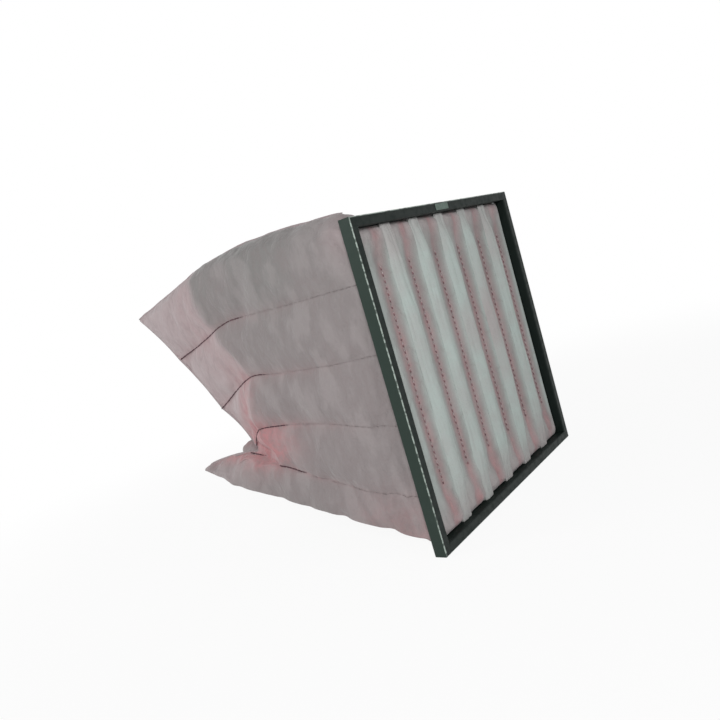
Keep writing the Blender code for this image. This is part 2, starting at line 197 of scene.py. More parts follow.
class FilterStitchSettings(bpy.types.PropertyGroup):
    """Threads and hems."""

    pitch: length_property("Stitch pitch", "From one stitch to the next", 0.0068, 0.001)
    thickness: length_property("Thread thickness", "Width of a stitch", 0.0030, 0.0002)
    thread: colour_property("Wall thread", "Mauve thread of the wall seams", (0.165, 0.085, 0.100))
    mouth_thread: colour_property("Mouth thread", "Pink thread in the mouths' valleys", (0.48, 0.25, 0.27))
    hem_width: length_property("Hem width", "Flat welded edge round each pocket", 0.0028, 0.001)


class FilterStageSettings(bpy.types.PropertyGroup):
    """Camera and light."""

    focal_length: FloatProperty(
        name="Focal length",
        description="On a 36 mm sensor",
        default=33.46,
        min=1.0,
        subtype="DISTANCE_CAMERA",
    )
    eye: FloatVectorProperty(
        name="Eye",
        description="Where the camera stands",
        subtype="TRANSLATION",
        unit="LENGTH",
        default=(-1.164, -0.681, 0.477),
    )
    look: FloatVectorProperty(
        name="Look",
        description="The way that the camera faces",
        subtype="DIRECTION",
        default=(0.766, 0.633, -0.110),
    )
    head: FloatVectorProperty(
        name="Head",
        description="The way that is up in the picture: the filter leans, so it isn't vertical",
        subtype="DIRECTION",
        default=(0.261, -0.151, 0.953),
    )
    sky: FloatProperty(
        name="Sky light",
        description="Strength of the even light from all round",
        default=0.30,
        min=0.0,
    )
    key: FloatProperty(
        name="Key light",
        description="Power of the soft lamp by the camera",
        default=22.0,
        min=0.0,
        unit="POWER",
    )


# Shader expressions


def arithmetic(operation, swapped=False):
    """A method that joins a socket and another value by a Math node."""

    def joined(self, other):
        return self._math(operation, other, self) if swapped else self._math(operation, self, other)

    return joined


class Sum:
    """A shader socket that Python arithmetic adds Math nodes to."""

    __add__ = arithmetic("ADD")
    __radd__ = arithmetic("ADD", swapped=True)
    __sub__ = arithmetic("SUBTRACT")
    __rsub__ = arithmetic("SUBTRACT", swapped=True)
    __mul__ = arithmetic("MULTIPLY")
    __rmul__ = arithmetic("MULTIPLY", swapped=True)

    def __init__(self, shader, socket):
        self.shader = shader
        self.socket = socket

    def _math(self, operation, *values, clamp=False):
        node = self.shader.node("ShaderNodeMath", {"operation": operation, "use_clamp": clamp})
        for i, value in enumerate(values):
            self.shader.feed(node.inputs[i], value)
        return Sum(self.shader, node.outputs[0])

    def absolute(self):
        return self._math("ABSOLUTE", self)

    def held(self):
        """Between 0 and 1."""
        return self._math("ADD", self, 0.0, clamp=True)

    def band(self, low, high):
        """0 below low, 1 above high, smooth between."""
        settings = {"interpolation_type": "SMOOTHSTEP", "clamp": True}
        node = self.shader.node("ShaderNodeMapRange", settings)
        self.shader.feed(node.inputs["Value"], self)
        self.shader.feed(node.inputs["From Min"], low)
        self.shader.feed(node.inputs["From Max"], high)
        return Sum(self.shader, node.outputs["Result"])


class Finish:
    """A procedural material, written as expressions."""

    def __init__(self, name):
        self.material = bpy.data.materials.new(name)
        self.material.use_nodes = True
        self.tree = self.material.node_tree
        self.principled = self.tree.nodes["Principled BSDF"]

    def node(self, kind, settings=None, sockets=None):
        """A node of a type, with its settings, then the values or links of its sockets."""
        made = self.tree.nodes.new(kind)
        for key, value in (settings or {}).items():
            if key == "stops":
                self.set_stops(made.color_ramp, value)
            else:
                setattr(made, key, value)
        for key, value in (sockets or {}).items():
            self.feed(made.inputs[key], value)
        return made

    def set_stops(self, ramp, stops):
        while len(ramp.elements) < len(stops):
            ramp.elements.new(1.0)
        for element, (position, colour) in zip(ramp.elements, stops):
            element.position = position
            element.color = colour

    def feed(self, socket, value):
        if isinstance(value, Sum):
            self.tree.links.new(value.socket, socket)
        elif isinstance(value, bpy.types.NodeSocket):
            self.tree.links.new(value, socket)
        elif hasattr(value, "__len__") and len(value) == 3 and socket.type == "RGBA":
            socket.default_value = (*value, 1.0)
        else:
            socket.default_value = value

    def place(self):
        return self.node("ShaderNodeTexCoord").outputs["Object"]

    def stretched(self, scale, turn=(0.0, 0.0, 0.0)):
        """Object coordinates, scaled along each axis."""
        mapping = self.node("ShaderNodeMapping", {}, {"Vector": self.place(), "Scale": scale, "Rotation": turn})
        return mapping.outputs["Vector"]

    def axis(self, index):
        split = self.node("ShaderNodeSeparateXYZ", {}, {"Vector": self.place()})
        return Sum(self, split.outputs[index])

    def attribute(self, name):
        made = self.node("ShaderNodeAttribute", {"attribute_name": name})
        return Sum(self, made.outputs["Fac"])

    def grain(self, scale, detail=3.0, rough=0.55, vector=None):
        sockets = {"Vector": vector or self.place(), "Scale": scale, "Detail": detail, "Roughness": rough}
        made = self.node("ShaderNodeTexNoise", {}, sockets)
        return Sum(self, made.outputs["Fac"])

    def cells(self, scale, vector=None, feature="F1"):
        sockets = {"Vector": vector or self.place(), "Scale": scale}
        made = self.node("ShaderNodeTexVoronoi", {"feature": feature}, sockets)
        return Sum(self, made.outputs["Distance"])

    def mix(self, factor, low, high):
        """One colour going over to another."""
        made = self.node("ShaderNodeMix", {"data_type": "RGBA"})
        self.feed(made.inputs["Factor"], factor)
        self.feed(made.inputs[6], low)
        self.feed(made.inputs[7], high)
        return made.outputs[2]

    def bump(self, height, strength, distance, after=None):
        sockets = {"Height": height, "Strength": strength, "Distance": distance}
        if after is not None:
            sockets["Normal"] = after
        return self.node("ShaderNodeBump", {}, sockets).outputs["Normal"]

    def set(self, **values):
        for key, value in values.items():
            self.feed(self.principled.inputs[key.replace("_", " ").title()], value)
        return self


# Materials


def paint_finish(settings):
    """Dark green enamel, with a painted highlight along the outer front folds, painted shade on the flanges and inner
    sides, fine orange peel and scuffed patches.
    """
    look = Finish("green_enamel")
    across = look.axis(0).absolute()
    depth = look.axis(1)
    up = look.axis(2)
    centre_z = (TOP_RAIL[1][2] + BOTTOM_RAIL[0][2]) / 2
    half = RIGHT_RAIL[1][0]
    from_centre = (up - centre_z).absolute()
    outward = look.node("ShaderNodeMath", {"operation": "MAXIMUM"})
    look.feed(outward.inputs[0], across)
    look.feed(outward.inputs[1], from_centre)
    outermost = Sum(look, outward.outputs[0])
    front = 1 - (depth - FRONT_Y).band(0.0004, 0.0022)
    outer_fold = outermost.band(half - 0.0026, half - 0.0006) * front
    wander = look.grain(85.0, 3.0, 0.6)
    # Painted highlight along the outer front folds, broken into short dashes
    fold_highlight = (outer_fold * (0.25 + 1.5 * wander.band(0.40, 0.58))).held()
    scuffs = look.grain(9.0, 5.0, 0.7).band(0.60, 0.78) * 0.18
    # The outer sides keep the paint colour; every other face, the flanges and inner sides among them, gets the
    # painted shade
    outside = outermost.band(half - 0.0016, half - 0.0004)
    colour = look.mix(outside, settings.painted_shade, settings.paint)
    colour = look.mix(scuffs, colour, (0.055, 0.080, 0.070))
    colour = look.mix(fold_highlight * 0.85, colour, settings.painted_edge_highlight)
    peel = look.grain(900.0, 2.0, 0.5)
    dents = look.grain(22.0, 2.0, 0.5)
    normal = look.bump(peel, 0.10, 0.0004)
    normal = look.bump(dents, 0.18, 0.0020, normal)
    rough = settings.paint_roughness + 0.18 * wander.band(0.4, 0.7) + 0.14 * (1 - outside) - 0.08 * fold_highlight
    rough = rough.held()
    look.feed(look.principled.inputs["Specular IOR Level"], 0.22)
    look.set(base_color=colour, roughness=rough, normal=normal)
    return look.material


def tag_finish(settings):
    """Plain plate, slightly mottled."""
    look = Finish("tag_plate")
    mottle = look.grain(160.0, 3.0)
    colour = look.mix(mottle.band(0.35, 0.7), settings.tag, (0.13, 0.19, 0.16))
    normal = look.bump(look.grain(500.0), 0.12, 0.0004)
    look.set(base_color=colour, roughness=0.5, normal=normal)
    return look.material


def steel_finish():
    """Zinc-coated strip with a soft spangle."""
    look = Finish("zinc_strip")
    spangle = look.cells(240.0)
    colour = look.mix(spangle.band(0.1, 0.8), (0.50, 0.51, 0.53), (0.66, 0.67, 0.69))
    rough = 0.32 + 0.16 * spangle
    look.set(base_color=colour, roughness=rough, metallic=1.0)
    return look.material


def key_finish():
    """Moulded black key."""
    look = Finish("moulded_key")
    look.set(base_color=(0.018, 0.018, 0.018), roughness=0.55, normal=look.bump(look.grain(700.0), 0.1, 0.0003))
    return look.material


def fibre_height(look):
    """Matted fibres of a nonwoven: long soft strands in several directions over a fine felt."""
    strands = 0.0
    for turn, scale in ((0.3, 1.0), (1.4, 1.17), (2.5, 0.93)):
        vector = look.stretched((420.0 * scale, 420.0 * scale, 60.0 * scale), (turn, 0.0, turn * 0.7))
        strands = strands + look.grain(1.0, 2.0, 0.5, vector)
    felt = look.grain(1500.0, 2.0, 0.6)
    return strands * 0.33 + felt * 0.4


def cloth_finish(name, settings):
    """Pink-grey nonwoven, by painted attributes: blush in the creases, painted light on the tail panel and the crown,
    a paler tone at the mouths' closed ends, and mint at the mouth with painted shade on its left flanks. Painted
    shade also darkens the long fold creases.
    """
    look = Finish(name)
    blush = look.attribute("blush")
    bloom = look.attribute("bloom")
    mint = look.attribute("mint")
    clouds = look.grain(7.0, 4.0, 0.6)
    mottle = look.grain(55.0, 4.0, 0.65)
    colour = look.mix((bloom + 0.20 * (clouds - 0.5)).held(), settings.cloth, settings.bloom)
    colour = look.mix((blush * (0.55 + 0.9 * mottle.band(0.3, 0.7))).held(), colour, settings.blush)
    colour = look.mix((mint * (0.75 + 0.5 * clouds)).held(), colour, settings.mint)
    height = look.axis(2)
    # Greyer and darker higher up the walls, except on the paler and mint cloth
    dull = height.band(0.30, 0.62) * (1 - bloom) * (1 - mint) * (0.45 + 0.8 * clouds.band(0.35, 0.7))
    colour = look.mix((dull * 0.75).held(), colour, (0.235, 0.232, 0.225))
    fleck = look.cells(330.0).band(0.0, 0.42)
    darker = look.mix(0.5, colour, (0.26, 0.21, 0.21))
    colour = look.mix((1 - fleck) * 0.10 + mottle.band(0.45, 0.75) * 0.16, colour, darker)
    crinkle = (look.grain(15.0, 5.0, 0.62) - 0.5).absolute()
    long_folds = (look.grain(1.0, 4.0, 0.55, look.stretched((9.0, 16.0, 7.0), (0.5, 0.0, 0.0))) - 0.5).absolute()
    # Painted shade: darker along the creases of the long folds, paler away from them
    colour = look.mix((1 - long_folds.band(0.0, 0.030)) * 0.40, colour, darker)
    paler = look.mix(0.5, colour, (0.62, 0.56, 0.56))
    colour = look.mix(long_folds.band(0.03, 0.13) * 0.26, colour, paler)
    normal = look.bump(fibre_height(look), 0.22, 0.0010)
    normal = look.bump(mottle, 0.25, 0.0016, normal)
    normal = look.bump(crinkle, 0.6, 0.0160, normal)
    normal = look.bump(long_folds, 0.6, 0.0200, normal)
    look.set(base_color=colour, roughness=0.92, normal=normal, sheen_weight=0.25, sheen_roughness=0.5)
    return look.material


def rib_finish(settings):
    """Mint-white lining of the ribs, pinker where it is doubled."""
    look = Finish("mint_rib_cloth")
    clouds = look.grain(16.0, 3.0, 0.6)
    streak = look.grain(1.0, 3.0, 0.6, look.stretched((260.0, 260.0, 14.0)))
    blush = look.attribute("blush")
    colour = look.mix(clouds.band(0.35, 0.75) * 0.55, settings.mint, (0.48, 0.46, 0.455))
    colour = look.mix(streak.band(0.5, 0.8) * 0.30, colour, (0.33, 0.33, 0.325))
    colour = look.mix(blush, colour, settings.bloom)
    normal = look.bump(fibre_height(look), 0.22, 0.0010)
    normal = look.bump(streak, 0.35, 0.0022, normal)
    normal = look.bump((look.grain(24.0, 5.0, 0.62) - 0.5).absolute(), 0.5, 0.0100, normal)
    look.set(base_color=colour, roughness=0.9, normal=normal, sheen_weight=0.25, sheen_roughness=0.5)
    return look.material


def thread_finish(name, colour, faded):
    """Twisted thread that fades towards the header."""
    look = Finish(name)
    fade = look.attribute("fade")
    twist = look.grain(1.0, 2.0, 0.5, look.stretched((900.0, 260.0, 900.0)))
    strong = look.mix(twist.band(0.3, 0.7) * 0.4, colour, tuple(0.6 * part for part in colour))
    mixed = look.mix(fade, strong, faded)
    look.set(base_color=mixed, roughness=0.75, normal=look.bump(twist, 0.4, 0.0005))
    return look.material


def hem_finish(settings):
    """Welded edge, a little paler and stiffer than the wall."""
    look = Finish("hem_cloth")
    press = look.cells(420.0)
    colour = look.mix(press.band(0.1, 0.7), settings.bloom, tuple(0.8 * part for part in settings.bloom))
    look.set(base_color=colour, roughness=0.85, normal=look.bump(press, 0.35, 0.0006))
    return look.material


# Form of a pocket


class PocketForm:
    """One pocket's form. u runs -1 to 1 across, v 0 to 1 up, w 0 to 1 from mouth to tail."""

    mouth_valley = 0.0225
    mouth_edge = 0.0200
    mouth_puff = 0.0110
    mouth_skew = 0.20
    shoulder_by_side = (0.0150, 0.0085)
    top_puff_length = 0.075
    bottom_puff_length = 0.105
    neck_end = 0.0030
    puff_start = 0.022
    rail_tuck = 0.012
    seam_place = (0.0, 0.151, 0.385, 0.618, 0.838, 1.0)
    tail_reach = (0.887, 0.660, 0.634, 0.734, 0.860, 1.0)
    top_rise = ((0.0, 0.0), (0.035, 0.027), (0.12, 0.038), (0.32, 0.045), (0.55, 0.039), (0.67, 0.024), (1.0, -0.029))
    floor_slope = 0.31
    floor_clearance = 0.0015
    seam_rise = (
        ((0.0, 0.0), (0.20, 0.023), (0.34, 0.048), (0.45, 0.071), (0.57, 0.094), (0.66, 0.108)),
        ((0.0, 0.0), (0.14, 0.013), (0.28, 0.024), (0.46, 0.032), (0.545, 0.030), (0.606, 0.010), (0.64, -0.018)),
        ((0.0, 0.0), (0.25, 0.000), (0.42, 0.005), (0.50, 0.009), (0.608, -0.012), (0.734, -0.048)),
        ((0.0, 0.0), (0.30, 0.001), (0.52, 0.003), (0.585, -0.006), (0.71, -0.027), (0.86, -0.048)),
    )
    straight_tail_reach = 0.898
    straight_seam_curve = 1.3
    flap_fullness = 2.6
    crown_by_pocket = (1.0, 0.58, 0.60, 0.55, 0.58, 0.62)
    notch_by_pocket = (1.0, 0.50, 0.75, 0.40, 0.65, 0.92)
    reach_by_pocket = (1.0, 0.985, 0.955, 0.99, 0.965, 0.995)
    crease_place = (0.80, 0.74, 0.84, 0.665, 0.665, 0.60)
    crease_thickness = 0.79
    tail_thickness = 0.006
    flap_thickness = 0.030
    crown_drop = 0.020
    crown_base = 0.020
    sole_rounding = 0.006
    groove_at_header = 0.25

    def __init__(self, index, settings):
        self.index = index
        self.settings = settings
        self.centre = OPENING_LEFT + PITCH * (index + 0.5)
        self.notch = self.notch_by_pocket[index % len(self.notch_by_pocket)]
        self.reach = settings.depth * self.reach_by_pocket[index % len(self.reach_by_pocket)]
        self.crown = self.crown_by_pocket[index % len(self.crown_by_pocket)]
        self.outer_left = index == 0
        self.outer_right = index == POCKET_COUNT - 1
        self.outer = self.outer_left or self.outer_right
        self.step_out = 1 - (SLEEVE_WIDTH / 2 + 1.4 * GAP) / (PITCH / 2)
        self.step_in = self.step_out - 0.03

    def fan(self, y):
        """How far the pockets have spread apart at this depth."""
        return 1 + self.settings.fan_out * max(y, 0.0) / self.settings.depth

    def tail_y(self, v):
        """Depth of the rear edge. Below the lowest seam it is the rounded end of the folded flap."""
        folded = between(self.tail_reach, v)
        if v < 1 / CHANNELS:
            fullness = math.sqrt(1 - (v * CHANNELS) ** self.flap_fullness)
            folded = self.tail_reach[1] + (self.tail_reach[0] - self.tail_reach[1]) * fullness
        straight = self.straight_tail_reach + (1 - self.straight_tail_reach) * v
        return self.reach * (straight + (folded - straight) * self.notch)

    def floor_z(self, y):
        """The plane that the pockets' undersides lie on while the header leans back."""
        return OPENING_BOTTOM - FLANGE_WIDTH + self.floor_slope * (y + HEADER_DEPTH) + self.floor_clearance

    def mouth_z(self, v):
        """Height in the header's opening: the seams part it unevenly, with narrow channels at the rails."""
        position = min(max(v, 0.0), 1.0) * CHANNELS
        line = min(int(position), CHANNELS - 1)
        low, high = self.seam_place[line], self.seam_place[line + 1]
        share = low + (high - low) * (position - line)
        return OPENING_BOTTOM + GAP + (OPENING_HEIGHT - 2 * GAP) * share

    def line_z(self, line, y):
        """Height of the bottom edge, a seam or the top edge at depth y."""
        share = max(0.0, y / self.reach)
        if line == CHANNELS:
            rise = curve_through(self.top_rise, share)
            return OPENING_TOP + rise * (self.crown if rise > 0 else 1.0)
        if line == 0:
            start = OPENING_BOTTOM + GAP
            return start + (self.floor_z(y) - start) * smooth_step(y / self.puff_start)
        start = self.mouth_z(line / CHANNELS)
        folded = curve_through(self.seam_rise[line - 1], share)
        top = OPENING_TOP + self.top_rise[-1][1]
        bottom = self.floor_z(self.reach * self.straight_tail_reach)
        end = bottom + (top - bottom) * self.seam_place[line]
        straight = (end - start) * min(1.0, share) ** self.straight_seam_curve
        return start + straight + (folded - straight) * self.notch

    def height(self, v, y):
        """Height of the cloth between the two lines it lies between."""
        position = min(max(v, 0.0), 1.0) * CHANNELS
        line = min(int(position), CHANNELS - 1)
        share = position - line
        low = self.line_z(line, y)
        high = self.line_z(line + 1, y)
        return low + (high - low) * share

    def crease_w(self, v):
        return between(self.crease_place, v)

    def seam_nearness(self, v):
        """1 on a stitched seam, 0 half a channel away."""
        position = v * CHANNELS
        nearest = round(position)
        if nearest in (0, CHANNELS):
            return 0.0
        return max(0.0, 1 - abs(position - nearest) / 0.5)

    def thickness(self, v, w, y):
        """Half thickness across the pocket, before wrinkles."""
        full = PITCH / 2 * self.fan(y)
        crease = self.crease_w(v)
        flap = smooth_step(1 - v * CHANNELS / 1.4)
        tail = (self.tail_thickness + (self.flap_thickness - self.tail_thickness) * flap) / 2
        at_crease = self.crease_thickness * full
        if w < crease:
            half = full + (at_crease - full) * (w / crease) ** 2
        else:
            half = at_crease + (tail - at_crease) * (w - crease) / (1 - crease)
        half = min(half, full - 0.6 * GAP)
        strength = self.groove_at_header + (1 - self.groove_at_header) * smooth_step(w / 0.7)
        groove = self.settings.seam_groove * strength * self.seam_nearness(v) ** 3
        return half - min(groove, 0.4 * half) * smooth_step(w / 0.05)

    def mouth_y(self, u, v):
        """Front face: a valley down the middle, closed by puffed folds at top and bottom."""
        below = self.mouth_z(v) - OPENING_BOTTOM
        above = OPENING_TOP - self.mouth_z(v)
        open_share = smooth_step(min(above / self.top_puff_length, below / self.bottom_puff_length))
        at_rail = smooth_step(min(above, below) / self.rail_tuck)
        valley = self.mouth_puff + (self.mouth_valley - self.mouth_puff) * open_share
        side = 1 if u > self.mouth_skew and not self.outer_right else 0
        shoulder = self.shoulder_by_side[side]
        shoulder += 0.5 * (self.mouth_puff - shoulder) * (1 - open_share)
        wide = self.step_in + (self.mouth_skew if u < self.mouth_skew else -self.mouth_skew)
        across = min(1.0, abs(u - self.mouth_skew) / wide)
        depth = valley + (shoulder - valley) * across**0.85
        depth = self.mouth_edge + (depth - self.mouth_edge) * at_rail
        return FRONT_Y + depth

    def has_sleeve(self, u):
        return not (self.outer_left and u < 0) and not (self.outer_right and u > 0)

    def front_y(self, u, v):
        """Depth of the front face, which passes behind the ribs on either side."""
        if abs(u) > self.step_out - 1e-6 and self.has_sleeve(u):
            return SLEEVE_BACK + 1.4 * GAP
        if abs(u) > self.step_in + 1e-6:
            edge = FRONT_Y + self.mouth_edge
            share = (abs(u) - self.step_in) / (1 - self.step_in)
            return self.mouth_y(u, v) + (edge - self.mouth_y(u, v)) * share
        return self.mouth_y(u, v)

    def mouth_folds(self, u, v):
        """Soft upright folds in the mouth, crumpled at its closed ends."""
        z = self.mouth_z(v) - OPENING_BOTTOM
        share = z / OPENING_HEIGHT
        seed = self.index * 7.3
        inside = smooth_step((self.step_in - abs(u)) / 0.12)
        ends = 1 - smooth_step(min((1 - share) / 0.17, share / 0.22))
        upright = billow(u * 2.6 + seed, z * 3.5, 0.5) * 0.0024
        crumple = (abs(billow(u * 2.1 + seed, z * 27.0, 3.1, 3)) - 0.25) * 0.0150 * ends
        gathers = math.sin(u * 8.0 + billow(seed, z * 9.0, 1.0) * 2.0) * 0.0016 * ends
        reach = smooth_step((share - 0.12) / 0.2) * smooth_step((0.8 - share) / 0.3)
        branch = 0.0055 * reach * math.exp(-(((u + 0.36 + 0.5 * (share - 0.4)) / 0.10) ** 2))
        rail = smooth_step(min(OPENING_HEIGHT - z, z) / 0.014)
        return (upright + crumple + gathers - branch) * inside * rail

    def wall_folds(self, u, v, w, y, z):
        """How far the wall stands in from its plain form: folds at the notch, drag folds, puckers at seams."""
        side = 1.0 if u > 0 else -1.0
        seed = self.index * 3.7 + side
        notch_y = self.tail_y(0.3)
        notch_z = self.height(0.3, notch_y)
        away_y = y - notch_y
        away_z = z - notch_z
        away = math.hypot(away_y, away_z * 1.15)
        turn = math.atan2(away_z, 0.03 - away_y)
        sway = billow(away * 11.0, seed, turn * 0.9) * 0.34
        fan_folds = abs(math.sin(turn * 3.6 + sway * 2.5 + self.index)) ** 0.7
        near = math.exp(-((away / 0.085) ** 2)) + 0.28 * math.exp(-((away / 0.17) ** 2))
        near *= smooth_step(away / 0.012)
        folds = self.settings.crumple * self.notch * near * (1 - fan_folds)
        drag = billow(y * 5.0 + seed, z * 6.5, 0.3 * seed, 2) * self.settings.wrinkle
        puckers = abs(billow(y * 46.0, z * 9.0, seed, 2)) * 0.0026 * self.seam_nearness(v) ** 1.5
        fine = billow(y * 16.0, z * 19.0, seed + 4.0, 3) * 0.0012
        ridge = 0.0030 * math.exp(-(((w - self.crease_w(v)) / 0.022) ** 2))
        return folds - ridge + (drag + puckers + fine) * smooth_step(w / 0.06)

    def drawn_crease(self, y, z):
        """One long soft crease that runs down the left wall from under the top edge."""
        start = Vector((0.226, 0.590))
        end = Vector((0.300, 0.452))
        run = end - start
        share = (Vector((y, z)) - start).dot(run) / run.length_squared
        off = (Vector((y, z)) - start - run * share).dot(Vector((run.y, -run.x)).normalized())
        fade = smooth_step((share + 0.15) / 0.3) * smooth_step((1.25 - share) / 0.4)
        valley = 0.0032 * math.exp(-((off / 0.011) ** 2))
        ridge = 0.0018 * math.exp(-(((off - 0.022) / 0.016) ** 2))
        return fade * (valley - ridge)

    def place(self, u, v, w, ring_y=None, detail=True):
        """Where a point of the pocket's surface lies."""
        if w == 0.0:
            y = self.front_y(u, v)
            if detail:
                y += self.mouth_folds(u, v)
        elif ring_y is not None:
            y = ring_y
        else:
            y = self.puff_start + (self.tail_y(v) - self.puff_start) * w
        if w == 0.0 or y <= self.neck_end:
            return Vector((self.centre + u * (PITCH / 2 - GAP), y, self.mouth_z(v)))
        half = self.thickness(v, w, y)
        z = self.height(v, y)
        puffed = smooth_step(y / self.puff_start)
        drop = self.crown_drop * puffed * smooth_step((v - 0.8) / 0.2)
        lift = self.sole_rounding * puffed * smooth_step((0.2 - v) / 0.2)
        z += (lift - drop) * u * u * min(1.0, half / self.crown_base)
        if detail:
            inward = self.wall_folds(u, v, w, y, z)
            if self.outer_left and u < 0:
                inward += self.drawn_crease(y, z)
            if not self.outer or (u > 0) == self.outer_left:
                inward = max(inward, 0.0)
            half -= min(inward, 0.6 * half) * puffed
            crown = smooth_step((v - 0.97) / 0.03) * (1 - u * u)
            z += billow(y * 13.0, self.index * 2.1, u * 1.5, 3) * 0.0030 * puffed * crown
        return Vector((self.centre * self.fan(y) + u * half, y, z))


# The pockets as they are sewn: each one's piece, form and grid of points
SEWN = []


# Building helpers


def mesh_object(name, bm, finish):
    mesh = bpy.data.meshes.new(name)
    bm.to_mesh(mesh)
    bm.free()
    mesh.materials.append(finish)
    mesh.shade_smooth()
    piece = bpy.data.objects.new(name, mesh)
    bpy.context.scene.collection.objects.link(piece)
    return piece


def lattice_block(across, up, along):
    """A cube whose faces are cut into a grid, with its corners at whole numbers (across, along, up)."""
    bm = bmesh.new()
    bmesh.ops.create_cube(bm, size=1.0)
    for axis, count in ((0, across), (2, up), (1, along)):
        edges = []
        for edge in bm.edges:
            run = edge.verts[0].co - edge.verts[1].co
            if abs(run[axis]) > 0.5 * max(abs(run[0]), abs(run[1]), abs(run[2])):
                edges.append(edge)
        if count > 1:
            bmesh.ops.subdivide_edges(bm, edges=edges, cuts=count - 1, use_grid_fill=True)
    for vert in bm.verts:
        vert.co = Vector([round((part + 0.5) * count) for part, count in zip(vert.co, (across, along, up))])
    return bm


def subdivide(piece, levels=1):
    smooth = piece.modifiers.new("smooth_cloth", "SUBSURF")
    smooth.levels = levels
    smooth.render_levels = levels


CLOTH_FRAMES = 20
CLOTH_SETTINGS = {
    "quality": 5,
    "mass": 0.3,
    "tension_stiffness": 15.0,
    "compression_stiffness": 15.0,
    "shear_stiffness": 5.0,
    "bending_stiffness": 0.4,
    "use_pressure": True,
    "uniform_pressure_force": 4.0,
    "vertex_group_mass": "sewn",
}


def billow_cloth(pieces, pins, settings):
    """Lets slack cloth fill with air between its sewn rows, and returns where its points come to."""
    for piece, weights in zip(pieces, pins):
        sewn = piece.vertex_groups.new(name="sewn")
        for weight in sorted(set(weights)):
            held = [i for i, value in enumerate(weights) if value == weight]
            if weight > 0:
                sewn.add(held, weight, "REPLACE")
        cloth = piece.modifiers.new("air", "CLOTH")
        for key, value in CLOTH_SETTINGS.items():
            setattr(cloth.settings, key, value)
        cloth.settings.shrink_min = -settings.slack
        cloth.settings.effector_weights.gravity = 0.0
        cloth.collision_settings.use_collision = False
        cloth.point_cache.frame_start = 1
        cloth.point_cache.frame_end = CLOTH_FRAMES
    scene = bpy.context.scene
    for frame in range(1, CLOTH_FRAMES + 1):
        scene.frame_set(frame)
    graph = bpy.context.evaluated_depsgraph_get()
    moved = []
    for piece in pieces:
        moved.append([vert.co.copy() for vert in piece.evaluated_get(graph).data.vertices])
    for piece in pieces:
        piece.modifiers.clear()
        piece.vertex_groups.clear()
    scene.frame_set(1)
    return moved


def settings_of(context):
    return context.scene.filter_header, context.scene.filter_pockets, context.scene.filter_stitches


def channel_rows(steps):
    """Height shares, closer together beside the seams."""
    rows = []
    for channel in range(CHANNELS):
        for step in range(steps):
            share = step / steps
            eased = share - 0.45 * math.sin(2 * math.pi * share) / (2 * math.pi)
            rows.append((channel + eased) / CHANNELS)
    return rows + [1.0]


def pocket_columns(form, along_steps):
    """The stations from mouth to tail: front face, neck, puff, wall up to the crease, and tail."""
    stations = [("front", 0.0), ("ring", form.neck_end)]
    for share in (0.2, 0.42, 0.7, 1.0):
        stations.append(("ring", form.neck_end + (form.puff_start - form.neck_end) * share))
    before = round(along_steps * 0.62)
    after = along_steps - before
    stations += [("wall", (step + 1) / before) for step in range(before)]
    stations += [("tail", (step + 1) / after) for step in range(after)]
    return stations


def station_point(form, station, u, v, detail=True):
    kind, value = station
    if kind == "front":
        return form.place(u, v, 0.0, None, detail)
    if kind == "ring":
        return form.place(u, v, 0.001 + 0.02 * value / form.puff_start, value, detail)
    crease = form.crease_w(v)
    w = crease * value if kind == "wall" else crease + (1 - crease) * value
    return form.place(u, v, max(w, 1e-4), None, detail)


def station_share(form, station, v):
    kind, value = station
    crease = form.crease_w(v)
    if kind in ("front", "ring"):
        return 0.0
    return crease * value if kind == "wall" else crease + (1 - crease) * value


def paint_cloth(mesh, marks):
    """Writes the blush, bloom and mint shares of every vertex."""
    for name in ("blush", "bloom", "mint"):
        layer = mesh.attributes.new(name, "FLOAT", "POINT")
        layer.data.foreach_set("value", [mark[name] for mark in marks])


